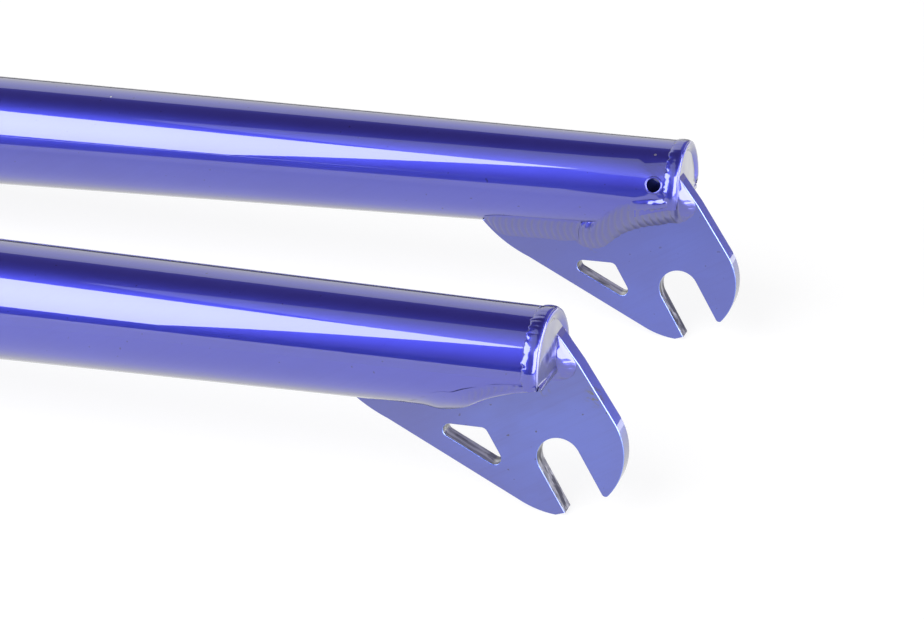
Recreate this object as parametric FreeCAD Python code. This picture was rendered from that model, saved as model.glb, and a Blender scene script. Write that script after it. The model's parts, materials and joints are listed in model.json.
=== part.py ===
import FreeCAD, Part
import math
import os

# Rigid bicycle fork for a 20 inch wheel, laid face down as it would rest on a table.
# Millimetres. The blades run along +X towards the wheel, +Z is up, the wheel axle runs along Y.
# All shapes are first drawn in the fork's own frame: X down the steerer, Z to the rear of the
# bicycle, and zero where the crown race would sit. At the end the fork is tipped onto its three feet:
# the two dropout tips and the top end of the steerer.

# Steerer and crown
steerer_diameter = 28.6
steerer_wall = 1.6
steerer_above_race = 165.0
steerer_below_crown = 2.5
spigot_diameter = 27.6
race_seat_diameter = 30.0
race_seat_height = 6.0
crown_diameter = 38.0
crown_shoulder = 4.6
crown_skirt = 8.0
crown_edge = 1.2

# Blades: round tapered tubes, bent in at the top to meet the crown
axle_to_race = 315.0
blade_top_diameter = 30.8
blade_end_diameter = 23.6
blade_taper_length = 245.0
blade_wall = 1.2
blade_bend_radius = 46.0
blade_bend_angle = 80.0
blade_splay = 0.67
blade_lean = 2.0

# Coped end of each blade: a round relief cut from below
cope_radius = 51.2
cope_length = 22.5
cope_rise = 10.0
vent_diameter = 4.0
vent_from_end = 5.95
vent_angle = 19.3

# End cap let into the blade's open end
cap_thickness = 2.0
cap_recess = 0.9

# Dropout plates
hub_spacing = 100.0
plate_thickness = 4.5
blade_outboard_of_plate = 5.8
axle_drop = 24.4
slot_width = 10.0
slot_lean = 28.5
slot_depth = 11.9
front_edge_angle = 27.8
front_edge_reach = 14.1
heel_below_blade = 7.7
heel_curve_middle = (-7.2, 4.2)
heel_curve_end = (-12.2, 8.9)
tongue_length = 33.0
tongue_clearance = 0.4
back_edge_past_end = 0.75
back_knee_past_end = 4.85
back_knee_below_axis = 1.7
horn_width_low = 1.0
horn_width_middle = 8.0
horn_middle_height = 6.6
horn_width_high = 10.9
horn_foot_height = 3.45
toe_start = 9.0
toe_middle_width = 5.2
toe_middle_height = 9.2
toe_width = 2.3
toe_height = 11.5
tip_round = 0.9
window_below_blade = 7.2
window_to_slot = 7.2
window_to_front_edge = 4.2
window_corner = 1.6

# Weld beads
rim_bead_width = 3.3
rim_bead_rise = 0.7
rim_bead_ahead = 0.35
rim_bead_inward = 2.7
rim_bead_hollow = 0.3
seam_bead_radius = 2.8
seam_bead_below_corner = 2.4
cope_bead_width = 3.6
cope_bead_rise = 0.7
cap_bead_radius = 2.6
cap_bead_ahead = 0.3
cap_bead_height = 9.0
crown_bead_leg = 3.0

# Worked out from the sizes above
splay = math.radians(blade_splay)
bend = math.radians(blade_bend_angle)
steerer_radius = steerer_diameter / 2
spigot_radius = spigot_diameter / 2
crown_radius = crown_diameter / 2
end_radius = blade_end_diameter / 2
top_radius = blade_top_diameter / 2
blade_height_on_crown = crown_shoulder + top_radius
crown_height = blade_height_on_crown + top_radius + crown_skirt
plate_inner = hub_spacing / 2
plate_outer = plate_inner + plate_thickness
blade_offset = plate_inner + plate_thickness / 2 + blade_outboard_of_plate
origin = FreeCAD.Vector(0, 0, 0)
along_x = FreeCAD.Vector(1, 0, 0)
along_y = FreeCAD.Vector(0, 1, 0)
along_z = FreeCAD.Vector(0, 0, 1)


def vec(x, y, z):
    return FreeCAD.Vector(x, y, z)


def revolved(points):
    """Solid of revolution about X from (x, radius) points."""
    corners = [vec(x, r, 0) for x, r in points]
    face = Part.Face(Part.makePolygon(corners + corners[:1]))
    return face.revolve(origin, along_x, 360)


def make_steerer():
    """Steerer tube, turned down to a spigot where it goes through the crown."""
    bottom = crown_height + steerer_below_crown
    bore = steerer_radius - steerer_wall
    return revolved([
        (-steerer_above_race, bore),
        (-steerer_above_race, steerer_radius),
        (-race_seat_height, steerer_radius),
        (-race_seat_height, spigot_radius),
        (bottom, spigot_radius),
        (bottom, bore),
    ])


def make_crown():
    """Turned crown sleeve with the race seat above its shoulder."""
    seat = race_seat_diameter / 2
    return revolved([
        (-race_seat_height, spigot_radius),
        (-race_seat_height, seat),
        (0, seat),
        (0, crown_radius - crown_edge),
        (crown_edge, crown_radius),
        (crown_height - crown_edge, crown_radius),
        (crown_height, crown_radius - crown_edge),
        (crown_height, spigot_radius),
    ])


def bend_start():
    """X where the straight blade ends and its bend towards the crown starts."""
    turned = splay + bend
    fall = blade_bend_radius * (math.cos(splay) - math.cos(turned))
    back = blade_bend_radius * (math.sin(turned) - math.sin(splay))
    slope = math.cos(turned) / math.sin(turned)
    level = blade_offset - axle_to_race * math.tan(splay) - fall
    return (blade_height_on_crown + back + level * slope) / (1 - math.tan(splay) * slope)


def blade_radius(from_end):
    """Outside radius of the straight blade at a distance from its end."""
    share = min(1.0, from_end / blade_taper_length)
    return end_radius + (top_radius - end_radius) * share


def blade_place():
    """Placement of the blade's end: X along the blade, Z up."""
    turn = FreeCAD.Rotation(along_z, blade_splay)
    return FreeCAD.Placement(vec(axle_to_race, blade_offset, 0), turn)


def blade_solid(growth):
    """The blade as a full round bar, with its radius grown by growth."""
    start = bend_start()
    straight = (axle_to_race - start) / math.cos(splay)
    taper = min(blade_taper_length, straight)
    bend_radius = blade_radius(straight) + growth
    bar = revolved([(-taper, 0), (-taper, bend_radius), (0, end_radius + growth), (0, 0)])
    if straight > taper:
        parallel = Part.makeCylinder(bend_radius, straight - taper, vec(-straight, 0, 0), along_x)
        bar = bar.fuse(parallel)
    bar.Placement = blade_place()
    first = blade_place().multVec(vec(-straight, 0, 0))
    ahead = vec(-math.cos(splay), -math.sin(splay), 0)
    inward = vec(math.sin(splay), -math.cos(splay), 0)
    disc = Part.Face(Part.Wire(Part.makeCircle(bend_radius, first, ahead)))
    centre = first + inward * blade_bend_radius
    elbow = disc.revolve(centre, along_z, blade_bend_angle)
    last = FreeCAD.Rotation(along_z, blade_bend_angle).multVec(first - centre) + centre
    onward = vec(-math.cos(splay + bend), -math.sin(splay + bend), 0)
    stub = Part.makeCylinder(bend_radius, last.y / math.sin(splay + bend), last, onward)
    return bar.fuse([elbow, stub]).removeSplitter()


def cope_centre():
    """Centre of the cope's round, from where it leaves the underside and where it meets the end."""
    start = vec(-cope_length, 0, -end_radius)
    finish = vec(0, 0, cope_rise - end_radius)
    half = (finish - start) / 2
    aside = vec(half.z, 0, -half.x).normalize()
    return start + half + aside * math.sqrt(cope_radius ** 2 - half.Length ** 2)


def cope_cylinder(growth):
    """Round cutter that relieves the blade's end from below."""
    wide = 4 * end_radius
    cutter = Part.makeCylinder(
        cope_radius + growth, wide, cope_centre() - along_y * (wide / 2), along_y)
    cutter.Placement = blade_place().multiply(cutter.Placement)
    return cutter


def make_vent():
    """Drill for the vent hole in the blade's inner side."""
    around = math.radians(vent_angle)
    outward = vec(0, -math.cos(around), math.sin(around))
    start = vec(-vent_from_end, 0, 0) + outward * (end_radius - 2 * blade_wall)
    drill = Part.makeCylinder(vent_diameter / 2, 4 * blade_wall, start, outward)
    drill.Placement = blade_place().multiply(drill.Placement)
    return drill


def leaned(shape, angle):
    """A shape tipped about the cross-line where the blades meet the crown."""
    copy = shape.copy()
    copy.rotate(vec(blade_height_on_crown, 0, 0), along_y, angle)
    return copy


def crown_bar(growth):
    """The crown as a full bar, placed as the blades see it before they lean."""
    bar = Part.makeCylinder(crown_radius + growth, crown_height, origin, along_x)
    return leaned(bar, -blade_lean)


def make_blade(plate):
    """Blade tube with its mouth cut to the crown, its cope, its vent and its slot for the plate."""
    shell = blade_solid(0).cut(blade_solid(-blade_wall))
    return shell.cut([crown_bar(0), cope_cylinder(0), make_vent(), plate])


def slot_point(across, up):
    """Plate point from distances across and up the slot, with the axle at zero."""
    lean = math.radians(slot_lean)
    x = across * math.cos(lean) - up * math.sin(lean)
    z = across * math.sin(lean) + up * math.cos(lean)
    return (x, z)


def front_edge_point(x):
    """Point of the straight front edge at x from the axle."""
    angle = math.radians(front_edge_angle)
    return (x, -front_edge_reach / math.cos(angle) - x * math.tan(angle))


def heel_points():
    """Where the front edge starts to curve into the blade, and the curve's middle and end."""
    angle = math.radians(front_edge_angle)
    height = axle_drop - end_radius - heel_below_blade
    x = -(height + front_edge_reach / math.cos(angle)) / math.tan(angle)
    curve = [(x + dx, height + dz) for dx, dz in (heel_curve_middle, heel_curve_end)]
    return [(x, height)] + curve


def tongue_height():
    """Height above the axle of the tongue's top edge, just inside the blade's bore."""
    bore = end_radius - blade_wall
    across = blade_offset - plate_inner
    return axle_drop + math.sqrt(bore ** 2 - across ** 2) - tongue_clearance


def plate_vector(point):
    """Place in the fork of a plate point given from the axle, on the plate's inner face."""
    return vec(axle_to_race + point[0], plate_inner, point[1] - axle_drop)


def line(a, b):
    return Part.LineSegment(plate_vector(a), plate_vector(b)).toShape()


def arc(a, b, c):
    return Part.Arc(plate_vector(a), plate_vector(b), plate_vector(c)).toShape()


def plate_prism(edges):
    face = Part.Face(Part.Wire(edges))
    return face.extrude(vec(0, plate_thickness, 0))


def upright_edges(solid, points):
    """Edges across the plate's thickness that stand on the given points."""
    nearness = 0.01
    found = []
    for edge in solid.Edges:
        ends = [v.Point for v in edge.Vertexes]
        if len(ends) == 2 and abs(ends[0].y - ends[1].y) > plate_thickness / 2:
            if any(math.hypot(ends[0].x - p.x, ends[0].z - p.z) < nearness for p in points):
                found.append(edge)
    return found


def plate_outline():
    """Closed outline of a dropout without its slot and window."""
    half = slot_width / 2
    heel, heel_middle, heel_end = heel_points()
    toe = front_edge_point(-toe_start)
    toe_middle = slot_point(-half - toe_middle_width, -toe_middle_height)
    toe_end = slot_point(-half - toe_width, -toe_height)
    tip = slot_point(-half, -slot_depth)
    horn = slot_point(half, -slot_depth)
    horn_tip = slot_point(half + horn_width_low, -slot_depth)
    horn_middle = slot_point(half + horn_width_middle, -horn_middle_height)
    foot = slot_point(half + horn_width_high, horn_foot_height)
    knee = (back_knee_past_end, axle_drop - back_knee_below_axis)
    top_back = (back_edge_past_end, tongue_height())
    top_front = (heel_end[0] + tongue_length, tongue_height())
    return [
        arc(heel_end, heel_middle, heel),
        line(heel, toe),
        arc(toe, toe_middle, toe_end),
        line(toe_end, tip),
        line(tip, horn),
        line(horn, horn_tip),
        arc(horn_tip, horn_middle, foot),
        line(foot, knee),
        line(knee, top_back),
        line(top_back, top_front),
        line(top_front, heel_end),
    ]


def slot_cutter():
    """The axle slot, open at the bottom."""
    half = slot_width / 2
    deep = slot_depth + slot_width
    edges = [
        arc(slot_point(-half, 0), slot_point(0, half), slot_point(half, 0)),
        line(slot_point(half, 0), slot_point(half, -deep)),
        line(slot_point(half, -deep), slot_point(-half, -deep)),
        line(slot_point(-half, -deep), slot_point(-half, 0)),
    ]
    return plate_prism(edges)


def window_cutter():
    """Three-sided lightening window: level top, back edge along the slot, low edge along the plate's."""
    angle = math.radians(front_edge_angle)
    lean = math.radians(slot_lean)
    below = (front_edge_reach - window_to_front_edge) / math.cos(angle)
    across = (slot_width / 2 + window_to_slot) / math.cos(lean)
    top = axle_drop - end_radius - window_below_blade
    front = (-(top + below) / math.tan(angle), top)
    back = (-across - top * math.tan(lean), top)
    low_z = (across * math.tan(angle) - below) / (1 - math.tan(lean) * math.tan(angle))
    low = (-across - low_z * math.tan(lean), low_z)
    corners = [front, back, low]
    prism = plate_prism([line(corners[i - 1], corners[i]) for i in range(3)])
    edges = upright_edges(prism, [plate_vector(c) for c in corners])
    return prism.makeFillet(window_corner, edges)


def make_dropout():
    plate = plate_prism(plate_outline())
    plate = plate.cut([slot_cutter(), window_cutter()])
    horn = plate_vector(slot_point(slot_width / 2, -slot_depth))
    return plate.makeFillet(tip_round, upright_edges(plate, [horn]))


def make_cap(plate):
    """Cap that closes the blade's end and folds under it along the cope."""
    bore = blade_solid(-blade_wall)
    thick = cap_thickness
    reach = 2 * end_radius
    block = Part.makeBox(reach, 2 * reach, 2 * reach, vec(-reach - cap_recess, -reach, -reach))
    inside = block.translated(vec(-thick, 0, 0))
    block.Placement = blade_place().multiply(block.Placement)
    inside.Placement = blade_place().multiply(inside.Placement)
    kept = bore.common(block.cut(cope_cylinder(0)))
    hollow = inside.cut(cope_cylinder(thick))
    return kept.cut([hollow, plate])


def rim_bead_profile():
    """Section of the bead round the blade's end: over its edge and down onto the cap."""
    in_wall = blade_wall / 2
    back = vec(-rim_bead_width, blade_radius(rim_bead_width), 0)
    crest = vec(-rim_bead_width / 2, end_radius + rim_bead_rise, 0)
    ridge = vec(rim_bead_ahead, end_radius, 0)
    hollow = vec(-rim_bead_hollow, end_radius - rim_bead_inward / 2, 0)
    foot = vec(-cap_recess, end_radius - rim_bead_inward, 0)
    inside_front = vec(-cap_recess - in_wall, end_radius - in_wall, 0)
    inside_back = back - vec(0, in_wall, 0)
    edges = [Part.Arc(back, crest, ridge), Part.Arc(ridge, hollow, foot)]
    corners = [foot, inside_front, inside_back, back]
    edges += [Part.LineSegment(a, b) for a, b in zip(corners, corners[1:])]
    return Part.Face(Part.Wire([edge.toShape() for edge in edges]))


def make_rim_bead(blade, cap, plate):
    ring = rim_bead_profile().revolve(origin, along_x, 360)
    ring.Placement = blade_place()
    return ring.cut([blade, cap, plate, cope_cylinder(0)])


def half_space(side):
    """Large block on one side of the plate: +1 outboard of it, -1 inboard."""
    reach = 3 * blade_end_diameter
    low = plate_outer if side > 0 else plate_inner - reach
    corner = vec(axle_to_race - reach, low, -reach)
    return Part.makeBox(2 * reach, reach, 2 * reach, corner)


def plate_shadow():
    """The plate's outline swept far to both sides, which keeps beads off its bare edges."""
    face = Part.Face(Part.Wire(plate_outline()))
    face.translate(vec(0, -blade_end_diameter, 0))
    return face.extrude(vec(0, plate_thickness + 2 * blade_end_diameter, 0))


def corner_height(side):
    """Height below the blade's axis where a face of the plate leaves the blade."""
    face = plate_outer if side > 0 else plate_inner
    across = blade_offset - face
    return math.sqrt(end_radius ** 2 - across ** 2)


def make_seam_bead(side, taken):
    """Bead along the corner between the blade and one face of the plate, from heel to cope."""
    face = plate_outer if side > 0 else plate_inner
    height = corner_height(side) + seam_bead_below_corner
    start = axle_to_race + heel_points()[2][0] + seam_bead_radius
    finish = axle_to_race - cope_length
    rod = Part.makeCylinder(seam_bead_radius, finish - start, vec(start, face, -height), along_x)
    ends = [Part.makeSphere(seam_bead_radius, vec(x, face, -height)) for x in (start, finish)]
    bead = rod.fuse(ends).common(half_space(side)).common(plate_shadow())
    return largest(bead.cut(taken))


def make_cope_bead(side, taken):
    """Bead that follows the cope from the seam to the blade's end, on one side of the plate."""
    skin = blade_solid(cope_bead_rise).common(cope_cylinder(cope_bead_width))
    skin = skin.cut([blade_solid(0), cope_cylinder(-cope_bead_rise)])
    return largest(skin.common(half_space(side)).cut(taken))


def make_cap_bead(side, taken):
    """Upright bead in the corner between the end cap and one face of the plate."""
    face = plate_outer if side > 0 else plate_inner
    foot = vec(axle_to_race + cap_bead_ahead, face, -cap_bead_height / 2)
    rod = Part.makeCylinder(cap_bead_radius, cap_bead_height, foot, along_z)
    ends = [Part.makeSphere(cap_bead_radius, foot + vec(0, 0, z)) for z in (0, cap_bead_height)]
    bead = rod.fuse(ends).common(half_space(side)).common(plate_shadow())
    return largest(bead.cut(taken))


def make_crown_bead(blade_bar):
    """Saddle-shaped bead where a blade meets the crown."""
    bead = blade_solid(crown_bead_leg).common(crown_bar(crown_bead_leg))
    return largest(bead.cut([blade_bar, crown_bar(0)]))


def largest(shape):
    """The largest solid of a shape."""
    return max(shape.Solids, key=lambda solid: solid.Volume)


def make_side():
    """Every piece of the +Y side, by name."""
    plate = make_dropout()
    blade = largest(make_blade(plate))
    cap = largest(make_cap(plate))
    pieces = {"blade": blade, "dropout": plate, "end_cap": cap}
    pieces["rim_weld"] = largest(make_rim_bead(blade, cap, plate))
    solid_bar = blade_solid(0)
    for side, word in ((1, "outer"), (-1, "inner")):
        taken = [pieces[name] for name in pieces] + [solid_bar.cut(cope_cylinder(0))]
        pieces[word + "_cap_weld"] = make_cap_bead(side, taken)
        taken.append(pieces[word + "_cap_weld"])
        pieces[word + "_cope_weld"] = make_cope_bead(side, taken)
        taken.append(pieces[word + "_cope_weld"])
        pieces[word + "_seam_weld"] = make_seam_bead(side, taken)
    pieces["crown_weld"] = make_crown_bead(solid_bar)
    return {name: leaned(shape, blade_lean) for name, shape in pieces.items()}


def mirrored(shape):
    return shape.mirror(origin, along_y)


def make_fork():
    pieces = {"steerer_tube": make_steerer(), "crown": make_crown()}
    for name, shape in make_side().items():
        pieces["right_" + name] = shape
        pieces["left_" + name] = mirrored(shape)
    return pieces


def lowest(shape, angle):
    """Lowest height of a shape once tipped by angle about Y."""
    copy = shape.copy()
    copy.rotate(origin, along_y, angle)
    return copy.optimalBoundingBox(False).ZMin


def rest_angle(pieces):
    """Tip about Y that brings the dropouts' tips level with the steerer's top end."""
    low, high = -20.0, 20.0
    for _ in range(24):
        middle = (low + high) / 2
        if lowest(pieces["right_dropout"], middle) < lowest(pieces["steerer_tube"], middle):
            high = middle
        else:
            low = middle
    return (low + high) / 2


def lay_down(pieces):
    """Rest the fork on its feet, centred over the origin."""
    angle = rest_angle(pieces)
    for shape in pieces.values():
        shape.rotate(origin, along_y, angle)
    box = Part.makeCompound(list(pieces.values())).optimalBoundingBox(False)
    shift = vec(-box.Center.x, -box.Center.y, -box.ZMin)
    for shape in pieces.values():
        shape.translate(shift)
    return angle, shift


def main():
    pieces = make_fork()
    angle, shift = lay_down(pieces)
    print("tip", round(angle, 4), "shift", [round(v, 4) for v in shift])
    os.makedirs("parts", exist_ok=True)
    for name, shape in pieces.items():
        print(name, len(shape.Solids), shape.isValid(), round(shape.Volume, 1))
        shape.exportStep("parts/" + name + ".step")


main()
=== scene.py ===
import json
import math

import bpy
import bmesh
from mathutils import Matrix, Vector


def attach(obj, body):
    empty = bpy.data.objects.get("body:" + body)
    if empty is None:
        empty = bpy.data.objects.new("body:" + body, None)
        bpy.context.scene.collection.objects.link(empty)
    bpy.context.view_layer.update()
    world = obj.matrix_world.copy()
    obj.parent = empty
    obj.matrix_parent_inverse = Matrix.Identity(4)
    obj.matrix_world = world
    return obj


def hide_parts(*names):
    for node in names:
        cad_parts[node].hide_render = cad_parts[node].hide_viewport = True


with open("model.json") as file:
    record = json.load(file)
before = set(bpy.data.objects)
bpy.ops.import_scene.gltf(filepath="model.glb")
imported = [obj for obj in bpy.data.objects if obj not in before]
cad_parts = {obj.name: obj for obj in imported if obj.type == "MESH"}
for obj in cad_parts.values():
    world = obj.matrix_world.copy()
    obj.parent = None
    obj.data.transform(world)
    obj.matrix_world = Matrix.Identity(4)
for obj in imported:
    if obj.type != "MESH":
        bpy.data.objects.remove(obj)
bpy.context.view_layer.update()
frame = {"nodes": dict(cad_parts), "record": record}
nodes = frame["nodes"]
mounts = {mount["name"]: mount for mount in frame["record"]["mounts"]}
mm = 0.001
sides = {"right": 1, "left": -1}
print("frame loaded:", len(nodes), "pieces")

# the blades' own frame: the axle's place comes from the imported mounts, the rest is the fork's geometry
axle = Vector(mounts["axle_slots"]["pos_m"])
blade = {
    "tilt": -2.0638,         # degrees about Y, against level
    "splay": 0.67,           # degrees that each blade opens towards the wheel
    "outFromMiddle": 58.05,  # blade's axis to the fork's middle plane, at the blade's end
    "upFromAxle": 24.4,
    "endRadius": 11.8,
    "taper": 3.6 / 245,      # radius gained for each mm away from the end
}
tiltTurn = Matrix.Rotation(math.radians(blade["tilt"]), 3, "Y")


def platePoint(side, x, out, z):
    # x along the blade and z up from the axle, out from the fork's middle plane, all in mm
    tilted = tiltTurn @ Vector((x, 0, z)) * mm
    return Vector((axle.x + tilted.x, side * out * mm, axle.z + tilted.z))


def bladePoint(side, along, out, up):
    # along the blade from its end, out and up from its axis, all in mm
    splay = math.radians(blade["splay"])
    x = along * math.cos(splay) - out * math.sin(splay)
    y = blade["outFromMiddle"] + along * math.sin(splay) + out * math.cos(splay)
    return platePoint(side, x, y, up + blade["upFromAxle"])


def bladeRadius(along):
    return blade["endRadius"] - along * blade["taper"]


def newObject(name, data):
    made = bpy.data.objects.new(name, data)
    bpy.context.scene.collection.objects.link(made)
    return made


# shader helpers
def newGroup(name, inputs, outputs):
    group = bpy.data.node_groups.new(name, "ShaderNodeTree")
    for label, kind, value in inputs:
        socket = group.interface.new_socket(label, in_out="INPUT", socket_type=kind)
        socket.default_value = value
    for label, kind in outputs:
        group.interface.new_socket(label, in_out="OUTPUT", socket_type=kind)
    return group, group.nodes.new("NodeGroupInput"), group.nodes.new("NodeGroupOutput")


def addNode(tree, kind, **settings):
    node = tree.nodes.new(kind)
    for label, value in settings.items():
        setattr(node, label, value)
    return node


def newMaterial(name):
    material = bpy.data.materials.new(name)
    material.use_nodes = True
    return material, material.node_tree.nodes["Principled BSDF"]


def setInput(tree, socket, value):
    # link another node's socket, or set a plain value
    if isinstance(value, bpy.types.NodeSocket):
        tree.links.new(value, socket)
    else:
        socket.default_value = value


def mathNode(tree, operation, *values, clamp=False):
    node = addNode(tree, "ShaderNodeMath", operation=operation, use_clamp=clamp)
    for socket, value in zip(node.inputs, values):
        setInput(tree, socket, value)
    return node.outputs[0]


def times(tree, first, second):
    return mathNode(tree, "MULTIPLY", first, second)


def vectorNode(tree, operation, *values):
    node = addNode(tree, "ShaderNodeVectorMath", operation=operation)
    for socket, value in zip(node.inputs, values):
        setInput(tree, socket, value)
    return node.outputs["Value" if operation in ("DISTANCE", "DOT_PRODUCT", "LENGTH") else "Vector"]


def mixColour(tree, mask, first, second):
    node = addNode(tree, "ShaderNodeMix", data_type="RGBA")
    for index, value in ((0, mask), (6, first), (7, second)):    # the sockets of a colour mix
        setInput(tree, node.inputs[index], value)
    return node.outputs[2]


def setValues(node, values):
    for label, value in values.items():
        node.inputs[label].default_value = value
    return node


def placeGroup(tree, group, values):
    return setValues(addNode(tree, "ShaderNodeGroup", node_tree=group), values).outputs


def objectPlace(tree):
    return addNode(tree, "ShaderNodeTexCoord").outputs["Object"]


def attributeValue(tree, name):
    return addNode(tree, "ShaderNodeAttribute", attribute_name=name).outputs["Fac"]


def aboutY(degrees):
    return (0, math.radians(degrees), 0)


def inMm(*lengths):
    return [length * mm for length in lengths]


def stretchedNoise(tree, place, turn, size, detail=3.0, roughness=0.55):
    # noise with grains of the given size along the turned axes
    mapping = addNode(tree, "ShaderNodeMapping", vector_type="TEXTURE")
    setInput(tree, mapping.inputs["Rotation"], turn)
    setInput(tree, mapping.inputs["Scale"], size)
    tree.links.new(place, mapping.inputs["Vector"])
    noise = addNode(tree, "ShaderNodeTexNoise")
    setValues(noise, {"Scale": 1.0, "Detail": detail, "Roughness": roughness})
    tree.links.new(mapping.outputs[0], noise.inputs["Vector"])
    return noise.outputs["Fac"]


def evenNoise(tree, place, size, detail):
    return stretchedNoise(tree, place, aboutY(0), inMm(size, size, size), detail)


def ramp(tree, value, low, high):
    # 0 at the low value, 1 at the high one and smooth between them
    node = addNode(tree, "ShaderNodeMapRange", interpolation_type="SMOOTHSTEP")
    tree.links.new(value, node.inputs["Value"])
    setInput(tree, node.inputs["From Min"], low)
    setInput(tree, node.inputs["From Max"], high)
    return node.outputs["Result"]


def nearPoint(tree, place, point, radius):
    # 0 from a radius in mm on round a point, rising to 1 at a quarter of it
    return ramp(tree, vectorNode(tree, "DISTANCE", place, point), radius * mm, 0.25 * radius * mm)


def finishSurface(tree, shader, colour, rough, height, bump):
    tree.links.new(colour, shader.inputs["Base Color"])
    tree.links.new(rough, shader.inputs["Roughness"])
    bumpNode = setValues(addNode(tree, "ShaderNodeBump"), {"Strength": bump, "Distance": 0.02 * mm})
    tree.links.new(height, bumpNode.inputs["Height"])
    tree.links.new(bumpNode.outputs[0], shader.inputs["Normal"])


# candy coat: linear colours, sizes in mm, turns in degrees about Y, and ranges of the noise
coat = {
    "roughness": 0.38,
    "flakes": 0.12,          # how much the flakes vary the roughness
    "flakeSize": 0.2,
    "clear": 0.012,          # roughness of the clear coat
    "clearHaze": 0.16,       # added to it where a bead is hazy
    "ior": 2.0,
    "grazing": (0.05, 0.05, 0.12, 1),
    "grazingRange": (0.45, 0.9),
    "haze": (0.090, 0.092, 0.25, 1),
    "hazeShare": 0.8,
    # colour of the painted highlight lines on the beads
    "pale": (0.62, 0.63, 0.78, 1),
    "cloudTurn": -20,
    "cloudSize": (34, 34, 17),
    "cloudRange": (0.36, 0.64),
    "streakTurn": -33,
    "streakSize": (30, 30, 0.9),
    "streakRange": (0.45, 0.75),
    "speck": (0.02, 0.02, 0.06, 1),
    "speckSize": 0.95,
    "speckRange": (0.835, 0.87),
    "chip": (0.55, 0.56, 0.66, 1),
    "chipsPerMetre": 75.0,
    "chipRadius": 0.028,     # against the cell that may hold a chip
    "chipRarity": 0.62,      # share of the cells that hold none
    "peelSize": 2.4,
}
coatLabels = ("Blue", "Deep", "Clouds", "Streaks", "Specks", "Chips")
paints = {
    "bladePaint": {
        "blue": (0.053, 0.060, 0.48, 1), "deep": (0.042, 0.042, 0.40, 1),
        "clouds": 0.3, "streaks": 0.12, "specks": 0.6, "chips": 1.0, "bump": 0.12},
    "platePaint": {
        "blue": (0.074, 0.112, 0.52, 1), "deep": (0.056, 0.068, 0.34, 1),
        "clouds": 0.6, "streaks": 0.22, "specks": 0.8, "chips": 0.5, "bump": 0.06},
    "weldPaint": {
        "blue": (0.056, 0.066, 0.48, 1), "deep": (0.045, 0.045, 0.36, 1),
        "clouds": 0.4, "streaks": 0.0, "specks": 0.2, "chips": 0.0, "bump": 0.15},
    # grey tone and pale grazing colour: painted reflection of the bright surroundings on the cap
    "capPaint": {
        "blue": (0.075, 0.075, 0.27, 1), "deep": (0.060, 0.060, 0.20, 1), "grazing": (0.27, 0.27, 0.28, 1),
        "clouds": 0.3, "streaks": 0.0, "specks": 0.2, "chips": 0.0, "bump": 0.15},
    # paler blue on the plates' rounded edges: a painted highlight
    "edgeHighlightPaint": {
        "blue": (0.17, 0.27, 0.78, 1), "deep": (0.09, 0.13, 0.58, 1),
        "clouds": 0.8, "streaks": 0.0, "specks": 0.3, "chips": 0.0, "bump": 0.0},
}


def makeCoatGroup():
    # colour of the candy coat: clouds, faint streaks, dark specks, pale chips and fine orange peel
    inputs = []
    for label in coatLabels:
        kind = "NodeSocketColor" if label in ("Blue", "Deep") else "NodeSocketFloat"
        inputs.append((label, kind, paints["bladePaint"][label.lower()]))
    outputs = [("Colour", "NodeSocketColor"), ("Roughness", "NodeSocketFloat"), ("Height", "NodeSocketFloat")]
    group, entry, out = newGroup("candyCoat", inputs, outputs)
    given = entry.outputs
    place = objectPlace(group)
    cloud = stretchedNoise(group, place, aboutY(coat["cloudTurn"]), inMm(*coat["cloudSize"]), 4.0)
    streak = stretchedNoise(group, place, aboutY(coat["streakTurn"]), inMm(*coat["streakSize"]), 4.0, 0.6)
    streakMask = times(group, ramp(group, streak, *coat["streakRange"]), given["Streaks"])
    cloudMask = times(group, ramp(group, cloud, *coat["cloudRange"]), given["Clouds"])
    mask = mathNode(group, "ADD", streakMask, cloudMask, clamp=True)
    base = mixColour(group, mask, given["Blue"], given["Deep"])
    speck = ramp(group, evenNoise(group, place, coat["speckSize"], 0.0), *coat["speckRange"])
    base = mixColour(group, times(group, speck, given["Specks"]), base, coat["speck"])
    cells = addNode(group, "ShaderNodeTexVoronoi")
    cells.inputs["Scale"].default_value = coat["chipsPerMetre"]
    group.links.new(place, cells.inputs["Vector"])
    chosen = addNode(group, "ShaderNodeSeparateColor")
    group.links.new(cells.outputs["Color"], chosen.inputs[0])
    spot = mathNode(group, "LESS_THAN", cells.outputs["Distance"], coat["chipRadius"])
    rare = mathNode(group, "GREATER_THAN", chosen.outputs[0], coat["chipRarity"])
    chip = times(group, times(group, spot, rare), given["Chips"])
    group.links.new(mixColour(group, chip, base, coat["chip"]), out.inputs["Colour"])
    flake = evenNoise(group, place, coat["flakeSize"], 1.0)
    least = coat["roughness"] - coat["flakes"] / 2
    group.links.new(mathNode(group, "MULTIPLY_ADD", flake, coat["flakes"], least), out.inputs["Roughness"])
    group.links.new(evenNoise(group, place, coat["peelSize"], 2.0), out.inputs["Height"])
    return group


def makeBeadGroup():
    # masks from the beads' own points: hazy valleys, and thin lines of painted highlight
    inputs = [("Share", "NodeSocketFloat", coat["hazeShare"])]
    outputs = [("Haze", "NodeSocketFloat"), ("Pale", "NodeSocketFloat")]
    group, entry, out = newGroup("beadMarks", inputs, outputs)
    haze = mathNode(group, "MULTIPLY", attributeValue(group, "haze"), entry.outputs["Share"], clamp=True)
    group.links.new(haze, out.inputs["Haze"])
    group.links.new(attributeValue(group, "pale"), out.inputs["Pale"])
    return group


# inside of the blades, painted near black as shade: how far under the skin it starts and how long the blade is
# straight, in mm
bore = {"colour": (0.004, 0.004, 0.006, 1), "under": 0.35, "straight": 120}


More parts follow.
